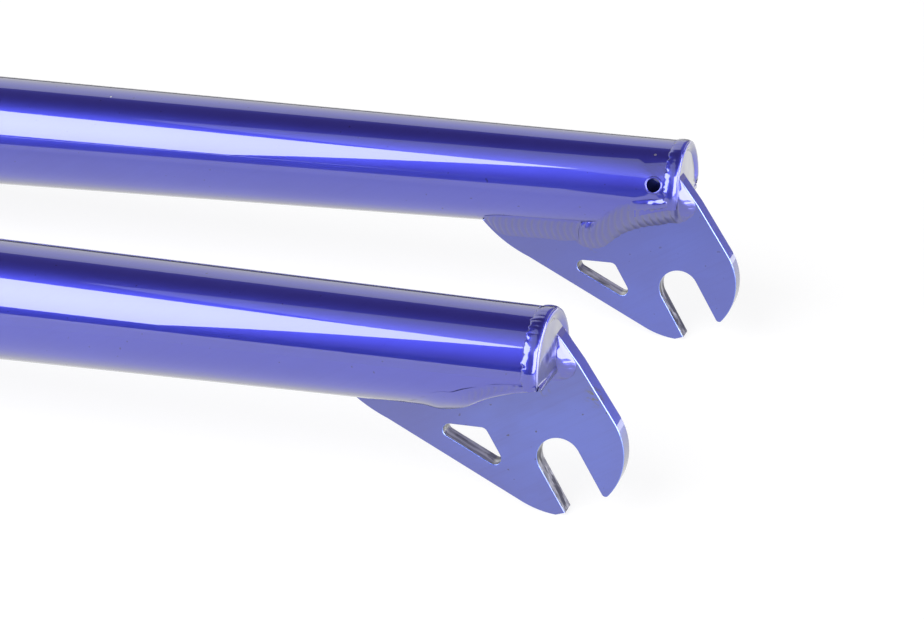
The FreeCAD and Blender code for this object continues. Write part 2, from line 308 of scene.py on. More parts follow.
def paintBoreShade(tree, shader, tone):
    # painted shade: near black and without clear coat where a point of either blade lies under the straight
    # stretch's skin
    split = addNode(tree, "ShaderNodeSeparateXYZ")
    tree.links.new(objectPlace(tree), split.inputs[0])
    joined = addNode(tree, "ShaderNodeCombineXYZ")
    tree.links.new(split.outputs[0], joined.inputs[0])
    tree.links.new(mathNode(tree, "ABSOLUTE", split.outputs[1]), joined.inputs[1])
    tree.links.new(split.outputs[2], joined.inputs[2])
    end = bladePoint(1, 0, 0, 0)
    way = (end - bladePoint(1, -100, 0, 0)).normalized()
    offset = vectorNode(tree, "SUBTRACT", joined.outputs[0], end)
    along = vectorNode(tree, "DOT_PRODUCT", offset, way)
    reach = vectorNode(tree, "LENGTH", vectorNode(tree, "CROSS_PRODUCT", offset, way))
    skin = mathNode(tree, "MULTIPLY_ADD", along, -blade["taper"], (blade["endRadius"] - bore["under"]) * mm)
    straight = mathNode(tree, "GREATER_THAN", along, -bore["straight"] * mm)
    inside = times(tree, mathNode(tree, "LESS_THAN", reach, skin), straight)
    tree.links.new(mathNode(tree, "SUBTRACT", 1.0, inside), shader.inputs["Coat Weight"])
    return mixColour(tree, inside, tone, bore["colour"])


# plates: painted shade on their parts away from the axle, a painted darker tone on the far plate, and dark
# spots, by place, radius in mm and strength
plateMarks = {
    "rim": {"middle": platePoint(1, -2, 0, 3), "radius": 34, "share": 0.75, "colour": (0.058, 0.064, 0.32, 1)},
    "far": {"middle": platePoint(1, 6, 50, 6), "radius": 70, "share": 0.45, "colour": (0.045, 0.070, 0.46, 1)},
    "darkSpots": [
        (platePoint(-1, 8.6, 54.5, 16.2), 3.4, 0.9),
        (platePoint(-1, -3.2, 54.5, 16.0), 1.8, 0.7),
        (platePoint(1, -22.0, 50.0, 9.0), 2.0, 0.4)],
    "darkSpotColour": (0.09, 0.085, 0.07, 1),
    "spotGrainTurn": 25,
    "spotGrainSize": (1.6, 1.6, 0.7),
    "spotGrainRange": (0.48, 0.60),
}


def markPlate(tree, tone):
    place = objectPlace(tree)
    # painted shade on the plates' parts away from the axle, and a painted darker tone over the far plate
    rim, far = plateMarks["rim"], plateMarks["far"]
    level = vectorNode(tree, "MULTIPLY", place, (1, 0, 1))
    outer = mathNode(tree, "SUBTRACT", 1.0, nearPoint(tree, level, rim["middle"], rim["radius"]))
    tone = mixColour(tree, times(tree, outer, rim["share"]), tone, rim["colour"])
    near = nearPoint(tree, place, far["middle"], far["radius"])
    tone = mixColour(tree, times(tree, near, far["share"]), tone, far["colour"])
    # dark spots at three places, broken by stretched noise
    grains = stretchedNoise(tree, place, aboutY(plateMarks["spotGrainTurn"]), inMm(*plateMarks["spotGrainSize"]))
    spotGrain = ramp(tree, grains, *plateMarks["spotGrainRange"])
    for point, radius, share in plateMarks["darkSpots"]:
        mask = times(tree, nearPoint(tree, place, point, radius), spotGrain)
        tone = mixColour(tree, times(tree, mask, share), tone, plateMarks["darkSpotColour"])
    return tone


# near cap: a patch of painted shade beside the plate, with less clear coat, of rounds by out, up and radius
capShade = {
    "rounds": [(-2.2, 3.8, 2.2), (-0.4, 3.4, 1.9), (1.4, 2.9, 1.9), (3.4, 2.6, 1.9)],
    "share": 0.85,
    "colour": (0.016, 0.016, 0.15, 1),
}


def shadeCap(tree, shader, tone):
    place = objectPlace(tree)
    shade = 0.0
    for out, up, radius in capShade["rounds"]:
        mask = nearPoint(tree, place, bladePoint(-1, 0, out, up), radius)
        shade = mathNode(tree, "MAXIMUM", shade, mask)
    shade = times(tree, shade, capShade["share"])
    tree.links.new(mathNode(tree, "SUBTRACT", 1.0, shade), shader.inputs["Coat Weight"])
    return mixColour(tree, shade, tone, capShade["colour"])


coatGroup = makeCoatGroup()
beadGroup = makeBeadGroup()


def candyMaterial(name):
    spec = paints[name]
    onBead = name in ("weldPaint", "capPaint")
    material, shader = newMaterial(name)
    tree = material.node_tree
    setValues(shader, {"Metallic": 1.0, "Coat Weight": 1.0})
    setValues(shader, {"Coat Roughness": coat["clear"], "Coat IOR": coat["ior"]})
    coating = placeGroup(tree, coatGroup, {label: spec[label.lower()] for label in coatLabels})
    tone = coating["Colour"]
    if onBead:
        marks = placeGroup(tree, beadGroup, {"Share": coat["hazeShare"]})
        tone = mixColour(tree, marks["Haze"], tone, coat["haze"])
        clear = mathNode(tree, "MULTIPLY_ADD", attributeValue(tree, "haze"), coat["clearHaze"], coat["clear"])
        tree.links.new(clear, shader.inputs["Coat Roughness"])
    if name == "platePaint":
        tone = markPlate(tree, tone)
    facing = addNode(tree, "ShaderNodeLayerWeight").outputs["Facing"]
    grazing = spec.get("grazing", coat["grazing"])
    tone = mixColour(tree, ramp(tree, facing, *coat["grazingRange"]), tone, grazing)
    if name == "capPaint":
        tone = shadeCap(tree, shader, tone)
    if onBead:
        # painted highlight lines on the beads
        tone = mixColour(tree, marks["Pale"], tone, coat["pale"])
    if name == "bladePaint":
        tone = paintBoreShade(tree, shader, tone)
    finishSurface(tree, shader, tone, coating["Roughness"], coating["Height"], spec["bump"])
    return material


# bare steel: grain and dark patches by turn and size, the noise values that the patches start and end at,
# their share, and the height in metres that they end at. The steerer's patches are soil, the slot's are painted
# shade
steelMetallic = {"bareSteel": 1.0, "slotSteel": 0.45, "windowSteel": 0.45}
steels = {
    "bareSteel": {
        "Turn": aboutY(4), "Grain": inMm(0.4, 30, 30), "Patch": inMm(22, 22, 22),
        "Dark": (0.30, 0.30, 0.30, 1), "Light": (0.46, 0.46, 0.45, 1), "SoilAndShade": (0.22, 0.21, 0.20, 1),
        "Low": 0.4, "High": 0.8, "Share": 0.4, "Top": 1.0},
    # in the slot the patches are navy painted shade, only below 1 mm over the axle
    "slotSteel": {
        "Turn": aboutY(28.5), "Grain": inMm(1.6, 1.1, 6), "Patch": inMm(4, 1.6, 5),
        "Dark": (0.26, 0.26, 0.29, 1), "Light": (0.58, 0.58, 0.62, 1), "SoilAndShade": (0.012, 0.012, 0.045, 1),
        "Low": 0.42, "High": 0.56, "Share": 0.92, "Top": axle.z + 1.0 * mm},
    "windowSteel": {
        "Turn": aboutY(27.8), "Grain": inMm(9, 0.9, 9), "Patch": inMm(5, 2, 5),
        "Dark": (0.23, 0.23, 0.24, 1), "Light": (0.56, 0.56, 0.55, 1), "SoilAndShade": (0.03, 0.03, 0.04, 1),
        "Low": 0.48, "High": 0.62, "Share": 0.6, "Top": 1.0},
}
steelFinish = {"grainRange": (0.35, 0.66), "roughness": 0.27, "grainRoughness": 0.2, "bump": 0.2}


def makeSteelGroup():
    # grain between a dark and a light tone, and dark patches: soil on the steerer, painted shade in the slot
    kinds = {"NodeSocketVector": ("Turn", "Grain", "Patch"), "NodeSocketColor": ("Dark", "Light", "SoilAndShade"),
             "NodeSocketFloat": ("Low", "High", "Share", "Top")}
    inputs = [(label, kind, steels["bareSteel"][label]) for kind, labels in kinds.items() for label in labels]
    outputs = [("Colour", "NodeSocketColor"), ("Roughness", "NodeSocketFloat"), ("Height", "NodeSocketFloat")]
    group, entry, out = newGroup("wornSteel", inputs, outputs)
    given = entry.outputs
    place = objectPlace(group)
    lines = stretchedNoise(group, place, given["Turn"], given["Grain"])
    patch = stretchedNoise(group, place, given["Turn"], given["Patch"])
    colour = mixColour(group, ramp(group, lines, *steelFinish["grainRange"]), given["Dark"], given["Light"])
    split = addNode(group, "ShaderNodeSeparateXYZ")
    group.links.new(place, split.inputs[0])
    mask = times(group, ramp(group, patch, given["Low"], given["High"]), given["Share"])
    mask = times(group, mask, mathNode(group, "LESS_THAN", split.outputs[2], given["Top"]))
    group.links.new(mixColour(group, mask, colour, given["SoilAndShade"]), out.inputs["Colour"])
    rough = mathNode(group, "MULTIPLY_ADD", lines, steelFinish["grainRoughness"], steelFinish["roughness"])
    group.links.new(rough, out.inputs["Roughness"])
    group.links.new(lines, out.inputs["Height"])
    return group


steelGroup = makeSteelGroup()


def steelMaterial(name):
    material, shader = newMaterial(name)
    tree = material.node_tree
    shader.inputs["Metallic"].default_value = steelMetallic[name]
    worn = placeGroup(tree, steelGroup, steels[name])
    finishSurface(tree, shader, worn["Colour"], worn["Roughness"], worn["Height"], steelFinish["bump"])
    return material


bladePaint = candyMaterial("bladePaint")
platePaint = candyMaterial("platePaint")
weldPaint = candyMaterial("weldPaint")
capPaint = candyMaterial("capPaint")
edgeHighlightPaint = candyMaterial("edgeHighlightPaint")
bareSteel = steelMaterial("bareSteel")
slotSteel = steelMaterial("slotSteel")
windowSteel = steelMaterial("windowSteel")
print("materials made")


def dress(node, material):
    for slot in node.material_slots:
        slot.link = "OBJECT"
        slot.material = material


for name, node in nodes.items():
    if name.endswith("_weld"):
        dress(node, weldPaint)
    elif name.endswith("_dropout") or name.endswith("_end_cap"):
        dress(node, platePaint)
    elif name == "steerer_tube":
        dress(node, bareSteel)
    else:
        dress(node, bladePaint)


# pieces rebuilt with finer form than their solids
plate = {
    "inner": 50.0,           # inner face to the fork's middle plane
    "thickness": 4.5,
    "edge": 0.24,            # radius that the paint gives to the edges
    "slotLean": 28.5,
    "slotWidth": 10.0,
    "slotDepth": 11.9,
    "slotCorner": 0.9,
    "frontAngle": 27.8,
    "frontReach": 14.1,      # axle to the straight front edge
    "heelDrop": 7.7,         # blade's underside down to the heel's corner
    "heelRound": [(-7.2, 4.2), (-12.2, 8.9)],     # from the heel's corner
    "toe": -9.0,             # where the straight front edge ends
    "toeRound": [(-5.2, -9.2), (-2.3, -11.5)],    # across from the slot's wall, and up along the slot
    "hornWidth": 1.0,
    "hornRound": [(8.0, -6.6), (10.9, 3.45)],     # across from the slot's other wall, and up along the slot
    "back": [(4.85, 22.7), (0.7, 28.5), (-1.0, 30.896)],
    "topLength": 33.0,       # from the end of the heel's round, with the top edge hidden in the blade
    "windowFromFront": 4.2,
    "windowFromSlot": 7.2,
    "windowDrop": 7.2,
    "windowCorner": 1.6,
    "wallMargin": 0.12,      # how far beside the outline a wall's face may lie
    "slotMouth": 0.5,        # painted stretch at the slot's mouth
    "windowBox": {"x": (-33.0, -9.5), "top": 6.0, "slope": 0.527, "over": 1.5, "fromSlot": 1.0},
    "wallFlatness": 0.2,
    "faceFlatness": 0.97,
    "capPaintFrom": 28.4,    # height from which the edge is painted like the cap
    "sharpAngle": 50,
}
bladeUnderside = blade["upFromAxle"] - blade["endRadius"]
plateFinish = {
    "face": platePaint, "edge": edgeHighlightPaint, "slot": slotSteel, "window": windowSteel, "top": capPaint}


def turned(point, degrees):
    a = math.radians(degrees)
    return (point[0] * math.cos(a) - point[1] * math.sin(a), point[0] * math.sin(a) + point[1] * math.cos(a))


def slotPoint(across, up):
    return turned((across, up), plate["slotLean"])


def arcThrough(a, b, c, steps=18):
    # points of the round from a through b to c
    d = 2 * (a[0] * (b[1] - c[1]) + b[0] * (c[1] - a[1]) + c[0] * (a[1] - b[1]))
    squares = [p[0] ** 2 + p[1] ** 2 for p in (a, b, c)]
    x = (squares[0] * (b[1] - c[1]) + squares[1] * (c[1] - a[1]) + squares[2] * (a[1] - b[1])) / d
    z = (squares[0] * (c[0] - b[0]) + squares[1] * (a[0] - c[0]) + squares[2] * (b[0] - a[0])) / d
    angles = [math.atan2(p[1] - z, p[0] - x) for p in (a, b, c)]
    whole = (angles[2] - angles[0]) % math.tau
    if (angles[1] - angles[0]) % math.tau > whole:
        whole -= math.tau
    radius = math.hypot(a[0] - x, a[1] - z)
    turns = [angles[0] + whole * i / steps for i in range(steps + 1)]
    return [(x + radius * math.cos(t), z + radius * math.sin(t)) for t in turns]


def roundedCorner(before, corner, after, radius, steps=8):
    first = (Vector(before) - Vector(corner)).normalized()
    second = (Vector(after) - Vector(corner)).normalized()
    half = math.acos(max(-1.0, min(1.0, first.dot(second)))) / 2
    reach = radius / math.tan(half)
    centre = Vector(corner) + (first + second).normalized() * radius / math.sin(half)
    middle = centre + (Vector(corner) - centre).normalized() * radius
    ends = [Vector(corner) + way * reach for way in (first, second)]
    return arcThrough(tuple(ends[0]), tuple(middle), tuple(ends[1]), steps)


def plateOutline():
    half, depth = plate["slotWidth"] / 2, plate["slotDepth"]
    tan, cos = math.tan(math.radians(plate["frontAngle"])), math.cos(math.radians(plate["frontAngle"]))
    heelHeight = bladeUnderside - plate["heelDrop"]
    heel = (-(heelHeight + plate["frontReach"] / cos) / tan, heelHeight)
    heelMiddle, heelEnd = [(heel[0] + x, heel[1] + z) for x, z in plate["heelRound"]]
    toe = (plate["toe"], -plate["frontReach"] / cos - plate["toe"] * tan)
    horn = slotPoint(half, -depth)
    hornTip = slotPoint(half + plate["hornWidth"], -depth)
    points = arcThrough(heelEnd, heelMiddle, heel)
    points += arcThrough(toe, *[slotPoint(-half + across, up) for across, up in plate["toeRound"]])
    points += [slotPoint(-half, -depth)]
    points += arcThrough(slotPoint(-half, 0), slotPoint(0, half), slotPoint(half, 0), 36)
    points += roundedCorner(slotPoint(half, 0), horn, hornTip, plate["slotCorner"])
    points += arcThrough(hornTip, *[slotPoint(half + across, up) for across, up in plate["hornRound"]], 24)
    points += plate["back"]
    points += [(heelEnd[0] + plate["topLength"], plate["back"][-1][1])]
    return points


def windowOutline():
    tan, cos = math.tan(math.radians(plate["frontAngle"])), math.cos(math.radians(plate["frontAngle"]))
    lean = math.radians(plate["slotLean"])
    below = (plate["frontReach"] - plate["windowFromFront"]) / cos
    across = (plate["slotWidth"] / 2 + plate["windowFromSlot"]) / math.cos(lean)
    top = bladeUnderside - plate["windowDrop"]
    low = (across * tan - below) / (1 - math.tan(lean) * tan)
    corners = [(-(top + below) / tan, top)]
    corners += [(-across - height * math.tan(lean), height) for height in (top, low)]
    points = []
    for i in range(3):
        points += roundedCorner(corners[i - 1], corners[i], corners[(i + 1) % 3], plate["windowCorner"])
    return points


def wallKind(x, z):
    # the walls of the slot and of the window are bare steel
    across, up = turned((x, z), -plate["slotLean"])
    half, margin, box = plate["slotWidth"] / 2, plate["wallMargin"], plate["windowBox"]
    if abs(across) < half + margin and -plate["slotDepth"] + plate["slotMouth"] < up < half + margin:
        return "slot"
    overFront = z > -plate["frontReach"] - x * box["slope"] + box["over"]
    if box["x"][0] < x < box["x"][1] and overFront and z < box["top"] and across < -half - box["fromSlot"]:
        return "window"
    return "face"


def faceKind(centre, flat):
    if flat < plate["faceFlatness"] and centre.y > plate["capPaintFrom"]:
        return "top"
    if flat < plate["wallFlatness"]:
        return wallKind(centre.x, centre.y)
    return "edge" if flat < plate["faceFlatness"] else "face"


def makePlateMesh():
    curve = bpy.data.curves.new("plateOutline", "CURVE")
    curve.dimensions = "2D"
    curve.fill_mode = "BOTH"
    curve.extrude = (plate["thickness"] / 2 - plate["edge"]) * mm
    curve.bevel_depth = plate["edge"] * mm
    curve.bevel_resolution = 3
    curve.offset = -plate["edge"] * mm
    for points in (plateOutline(), windowOutline()):
        spline = curve.splines.new("POLY")
        spline.points.add(len(points) - 1)
        for point, (x, z) in zip(spline.points, points):
            point.co = (x * mm, z * mm, 0, 1)
        spline.use_cyclic_u = True
    holder = newObject("plateOutline", curve)
    evaluated = holder.evaluated_get(bpy.context.evaluated_depsgraph_get())
    mesh = bpy.data.meshes.new_from_object(evaluated)
    bpy.data.objects.remove(holder)
    bpy.data.curves.remove(curve)
    return mesh


def tidyNormals(mesh):
    shell = bmesh.new()
    shell.from_mesh(mesh)
    bmesh.ops.remove_doubles(shell, verts=shell.verts, dist=0.002 * mm)
    bmesh.ops.recalc_face_normals(shell, faces=shell.faces)
    for face in shell.faces:
        face.smooth = True
    shell.to_mesh(mesh)
    shell.free()
    mesh.set_sharp_from_angle(angle=math.radians(plate["sharpAngle"]))


def makePlates():
    source = makePlateMesh()
    middle = plate["inner"] + plate["thickness"] / 2
    kinds = list(plateFinish)
    for word, side in sides.items():
        mesh = source.copy()
        mesh.materials.clear()
        for material in plateFinish.values():
            mesh.materials.append(material)
        for polygon in mesh.polygons:
            polygon.material_index = kinds.index(faceKind(polygon.center / mm, abs(polygon.normal.z)))
        for vertex in mesh.vertices:
            x, z, out = vertex.co / mm
            vertex.co = platePoint(side, x, middle + out, z)
        tidyNormals(mesh)
        piece = newObject(word + "Plate", mesh)
        smooth = piece.modifiers.new("evenNormals", "WEIGHTED_NORMAL")
        smooth.weight = 100
        smooth.keep_sharp = True
        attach(piece, "root")
        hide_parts(word + "_dropout")


def smoothStep(value, low, high):
    share = max(0.0, min(1.0, (value - low) / (high - low)))
    return share * share * (3 - 2 * share)


def between(stations, along):
    # smooth interpolation of station rows (along, a, b, ...) at a place along the blade
    if along <= stations[0][0]:
        return stations[0][1:]
    for first, second in zip(stations, stations[1:]):
        if along <= second[0]:
            share = (along - first[0]) / (second[0] - first[0])
            return tuple(a + (b - a) * share for a, b in zip(first[1:], second[1:]))
    return stations[-1][1:]


def blended(stations, along, reach):
    # average over a short reach, which rounds the corners of the stations
    rows = [between(stations, along + reach * k / 3) for k in (-3, -2, -1, 0, 1, 2, 3)]
    return tuple(sum(values) / len(rows) for values in zip(*rows))


def riseAndFall(value, rise, fall):
    return smoothStep(value, *rise) * (1 - smoothStep(value, *fall))


def placesAlong(stations, step):
    first, last = stations[0][0], stations[-1][0]
    steps = int((last - first) / step)
    return [first + (last - first) * i / steps for i in range(steps + 1)]


def bellCurve(value, middle, width):
    return math.exp(-((value - middle) / width) ** 2)


def gridPiece(name, word, rows, material, replaced):
    # rows of points (along, out, up, haze, share of painted highlight) in the blade's own frame become one
    # smooth skin
    side = sides[word]
    width = len(rows[0])
    verts = [bladePoint(side, *point[:3]) for row in rows for point in row]
    faces = []
    for i in range(len(rows) - 1):
        for k in range(width - 1):
            corner = i * width + k
            faces.append((corner, corner + 1, corner + width + 1, corner + width))
    mesh = bpy.data.meshes.new(name)
    mesh.from_pydata(verts, [], faces)
    for label, k in (("haze", 3), ("pale", 4)):
        values = mesh.attributes.new(label, "FLOAT", "POINT")
        values.data.foreach_set("value", [point[k] if len(point) > k else 0.0 for row in rows for point in row])
    mesh.shade_smooth()
    mesh.materials.append(material)
    piece = newObject(name, mesh)
    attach(piece, "root")
    for node in replaced:
        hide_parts(node)


def weldPiece(word, part, rows, node):
    gridPiece(word + part, word, rows, weldPaint, [word + "_" + node])


innerFace = plate["inner"] - blade["outFromMiddle"]
outerFace = innerFace + plate["thickness"]


def ripple(phase):
    # overlapping rounds: a soft crest with a narrow valley
    return abs(math.sin(math.pi * phase)) ** 0.75


# inner beads: lengths in mm, and ranges along the blade or across the bead, 0 at the plate
innerBead = {
    "step": 0.11,
    "columns": 26,
    "offPlate": 0.04,
    "underSkin": 0.05,
    "leavesSkin": (-1.0, 1.2),
    "kneeAt": 0.6,
    "kneeFlattens": (-1.5, 0.5),
    "endLength": 1.4,
    "curve": 1.0,            # how far each ripple's middle runs ahead
    "wiggle": 0.25,
    "shelfStarts": (-12.5, -8.8),
    "shelfEnds": (-2.6, -1.6),
    "shelfEdge": (0.70, 0.745),
    "shelfBack": (0.9, 1.0),
    "shelfRise": 0.05,
    "shelfStep": 0.30,
    "shelfStepRange": (-8.0, -5.5),
}

# stations: along, toe height, top height, crown of the bead
innerSeam = {
    "part": "InnerSeam", "node": "inner_seam_weld",
    "stations": [
        (-51.0, -10.4, -9.2, 0.05), (-49.6, -11.6, -8.8, 0.2), (-47.8, -13.4, -8.4, 0.45),
        (-45.1, -14.1, -8.2, 0.55), (-40.2, -14.0, -8.1, 0.6), (-34.9, -13.9, -8.1, 0.6),
        (-30.4, -14.1, -8.0, 0.65), (-27.5, -13.8, -8.0, 0.7), (-25.2, -13.6, -8.0, 0.7)],
    "pitch": 1.72, "height": 0.19, "shelf": False,
}
innerCope = {
    "part": "InnerCope", "node": "inner_cope_weld",
    "stations": [
        (-27.2, -13.4, -9.3, 0.2), (-25.9, -14.8, -8.6, 0.9), (-23.8, -15.4, -8.2, 1.35),
        (-21.6, -15.4, -7.9, 1.3), (-19.4, -14.7, -6.0, 1.0), (-17.2, -12.7, -3.9, 0.7),
        (-14.9, -10.9, -2.0, 0.55), (-12.0, -9.4, -0.5, 0.5), (-8.0, -8.1, 0.1, 0.5), (-4.5, -7.5, 0.4, 0.5),
        (-2.6, -6.7, 1.0, 0.5), (-0.1, -6.8, 1.0, 0.5), (1.8, -6.0, 0.4, 0.5), (3.4, -4.6, -0.8, 0.4),
        (4.4, -3.3, -2.2, 0.2)],
    "pitch": 1.75, "height": 0.20, "shelf": True,
}


def innerSkinPoint(along, up):
    # point just under the blade's skin at a height, on its inner side
    radius = bladeRadius(along)
    height = max(-radius, min(radius, up))
    wide = math.sqrt(radius ** 2 - height ** 2)
    grow = (radius - innerBead["underSkin"]) / radius
    return Vector((-wide * grow, height * grow))


def innerProfile(along, toe, top):
    # the bead's foot on the plate, the knee in its section and its top on the blade
    low = Vector((innerFace + innerBead["offPlate"], toe))
    high = innerSkinPoint(along, top)
    high = high.lerp(Vector((low.x, top)), smoothStep(along, *innerBead["leavesSkin"]))
    across = high - low
    slant = Vector((high.y, -high.x)).normalized()
    slant = slant if slant.y < 0 else -slant
    knee = high + slant * min(abs((low.x - high.x) / min(slant.x, -0.05)), 0.5 * across.length)
    middle = low + across * innerBead["kneeAt"]
    knee = middle + (knee - middle) * 0.5 * (1 - smoothStep(along, *innerBead["kneeFlattens"]))
    return low, knee, high


def makeInnerBead(word, spec):
    stations, columns = spec["stations"], innerBead["columns"]
    first, last, end = stations[0][0], stations[-1][0], innerBead["endLength"]
    rows = []
    for along in placesAlong(stations, innerBead["step"]):
        toe, top, crown = blended(stations, along, 0.8)
        low, knee, high = innerProfile(along, toe, top)
        across = high - low
        away = Vector((-across.y, across.x)).normalized()
        away = -away if away.x > 0 else away
        ends = riseAndFall(along, (first, first + end), (last - end, last))
        shelf = riseAndFall(along, innerBead["shelfStarts"], innerBead["shelfEnds"]) if spec["shelf"] else 0.0
        rise = crown + innerBead["shelfRise"]
        rise += innerBead["shelfStep"] * smoothStep(along, *innerBead["shelfStepRange"])
        row = []
        for k in range(columns + 1):
            t = k / columns
            crest = ripple((along - first + innerBead["curve"] * (1 - (2 * t - 1) ** 2)) / spec["pitch"])
            swell = math.sin(math.pi * t)
            onShelf = shelf * smoothStep(t, *innerBead["shelfEdge"])
            lift = crown * swell * (1 - onShelf) + onShelf * rise * (1 - smoothStep(t, *innerBead["shelfBack"]))
            lift += spec["height"] * (crest - 0.55) * swell ** 0.6 * (1 - onShelf)
            lift *= 0.12 + 0.88 * ends
            wiggle = innerBead["wiggle"] * (crest - 0.5) * (1 - t) ** 2
            point = low * (1 - t) ** 2 + knee * 2 * t * (1 - t) + high * t ** 2
            point += away * lift - across.normalized() * wiggle
            haze = (0.45 + 0.55 * (1 - crest)) * (1 - onShelf) * (1 - smoothStep(t, 0.8, 1.0)) + 0.15
            row.append((along, point.x, point.y, haze))
        rows.append(row)
    weldPiece(word, spec["part"], rows, spec["node"])


# stations: along, ridge height, top height of the fused skin, how far the ridge stands out
outerCope = {
    "stations": [
        (-34.0, -12.0, -11.0, 0.01), (-30.0, -12.0, -9.4, 0.03), (-27.0, -12.0, -7.8, 0.16),
        (-25.2, -12.4, -6.4, 0.6), (-24.0, -12.3, -5.6, 0.7), (-22.5, -11.6, -5.0, 0.5),
        (-21.0, -11.0, -4.6, 0.36), (-19.3, -10.3, -4.8, 0.32), (-16.8, -9.0, -3.6, 0.3),
        (-13.9, -7.0, -2.6, 0.28), (-11.4, -5.6, -1.8, 0.25), (-8.7, -4.5, -1.2, 0.2),
        (-4.9, -3.3, -0.8, 0.17), (-2.0, -2.7, -0.6, 0.15), (-0.1, -2.3, -0.4, 0.15)],
    "step": 0.11, "pitch": 1.55, "height": 0.06, "curve": 1.8, "ripples": (-21.0, -12.0),
    "round": 1.4,            # radius of the ridge
    "roundFrom": -125,       # where its round starts, in degrees, out of sight under the bead
    "shineAt": -60, "shineWidth": 13, "shineRange": (-32.0, -26.0),
    "roundSteps": 10, "columns": 22,
}


def makeOuterCope(word):
    spec = outerCope
    stations, small, columns = spec["stations"], spec["round"], spec["columns"]
    under = math.radians(spec["roundFrom"])
    rows = []
    for along in placesAlong(stations, spec["step"]):
        ridge, top, bulge = blended(stations, along, 1.0)
        skin = bladeRadius(along)
        reach = skin + bulge
        start = math.asin(max(-0.99, min(0.99, (ridge + small) / (reach - small))))
        centre = Vector((math.cos(start), math.sin(start))) * (reach - small)
        ripples = smoothStep(along, *spec["ripples"])
        row = [(along, outerFace - 0.3, ridge + 2.2, 0.3, 0.0)]
        for k in range(spec["roundSteps"] + 1):
            turn = under + (start - under) * k / spec["roundSteps"]
            shine = bellCurve(math.degrees(turn), spec["shineAt"], spec["shineWidth"])
            # a painted highlight along the ridge's round
            pale = 0.8 * shine * smoothStep(along, *spec["shineRange"])
            out, up = centre.x + small * math.cos(turn), centre.y + small * math.sin(turn)
            row.append((along, out, up, 0.1, pale))
        high = max(math.asin(max(-0.99, top / skin)), start + 0.05)
        for k in range(1, columns + 1):
            t = k / columns
            phase = (along - stations[0][0] - spec["curve"] * (1 - (1.2 * t - 0.7) ** 2)) / spec["pitch"]
            crest = ripple(phase)
            fade = riseAndFall(t, (0.0, 0.2), (0.6, 1.0))
            lift = bulge * (1 - smoothStep(t, 0.0, 1.0)) + spec["height"] * (crest - 0.5) * fade * ripples
            lift += 0.03 * (1 - smoothStep(t, 0.4, 1.0)) - 0.02 * smoothStep(t, 0.7, 1.0)
            turn = start + (high - start) * t
            haze = ((1 - crest) * 0.5 + 0.15) * fade * ripples
            row.append((along, (skin + lift) * math.cos(turn), (skin + lift) * math.sin(turn), haze, 0.0))
        rows.append(row)
    weldPiece(word, "OuterCope", rows, "outer_cope_weld")


# stations: along, toe height on the outer face, reach out from it, crown
outerSeam = {
    "stations": [
        (-50.5, -11.3, 0.6, 0.05), (-48.5, -12.6, 1.8, 0.3), (-45.0, -13.6, 2.4, 0.45),
        (-36.0, -13.6, 2.5, 0.5), (-26.0, -13.7, 2.5, 0.4), (-22.4, -14.4, 1.2, 0.25),
        (-20.0, -14.7, 0.3, 0.25), (-17.6, -13.9, 0.2, 0.2), (-16.0, -12.4, 0.1, 0.05)],
    "step": 0.14, "columns": 14, "pitch": 1.7, "height": 0.12,
    "tuck": 0.4,             # how far both rims lie under the surfaces that they meet
    "narrow": 3.6,           # its height where it leaves the blade, in the range below
    "narrows": (-24, -21),
}


def makeOuterSeam(word):
    spec = outerSeam
    stations, columns = spec["stations"], spec["columns"]
    rows = []
    for along in placesAlong(stations, spec["step"]):
        toe, reach, crown = blended(stations, along, 0.8)
        out = outerFace + reach
        low = Vector((outerFace, toe))
        high = Vector((out, max(-math.sqrt(bladeRadius(along) ** 2 - out ** 2), toe + 0.4)))
        high.y += (toe + spec["narrow"] - high.y) * smoothStep(along, *spec["narrows"])
        across = high - low
        away = Vector((across.y, -across.x)).normalized()
        crest = ripple((along - stations[0][0]) / spec["pitch"])
        row = []
        for k in range(columns + 1):
            t = k / columns
            swell = math.sin(math.pi * t) ** 0.6
            lift = crown * swell + spec["height"] * (crest - 0.5) * swell
            lift -= spec["tuck"] if k in (0, columns) else 0.0
            point = low + across * t + away * lift
            row.append((along, point.x, point.y, 0.15))
        rows.append(row)
    weldPiece(word, "OuterSeam", rows, "outer_seam_weld")


# rim bead's section: place along the blade, and height over its skin, angles in degrees round the blade's end
rimBead = {
    "section": [
        (-3.55, -0.15), (-3.35, 0.0), (-3.15, 0.13), (-2.9, 0.22), (-2.3, 0.32), (-1.6, 0.36), (-0.9, 0.30),
        (-0.35, 0.14), (0.0, -0.12), (0.2, -0.42), (0.26, -0.8), (0.22, -1.2), (0.1, -1.6), (-0.06, -2.0),
        (-0.28, -2.5), (-0.7, -3.1), (-1.2, -3.6)],
    "from": -10.5, "to": 190.5, "steps": 420, "pitch": 1.5,
    "grows": (-11, 2), "shrinks": (176, 190),
    "rippledAt": 62, "rippledWidth": 16,
    "wavers": [(0.16, 1.9, 0.0), (0.12, 3.1, 1.0), (0.08, 5.3, 0.0)],    # size, pace and start of each
    "shineRow": 9, "shineWidth": 0.9, "shineEnds": (25, 50),
}


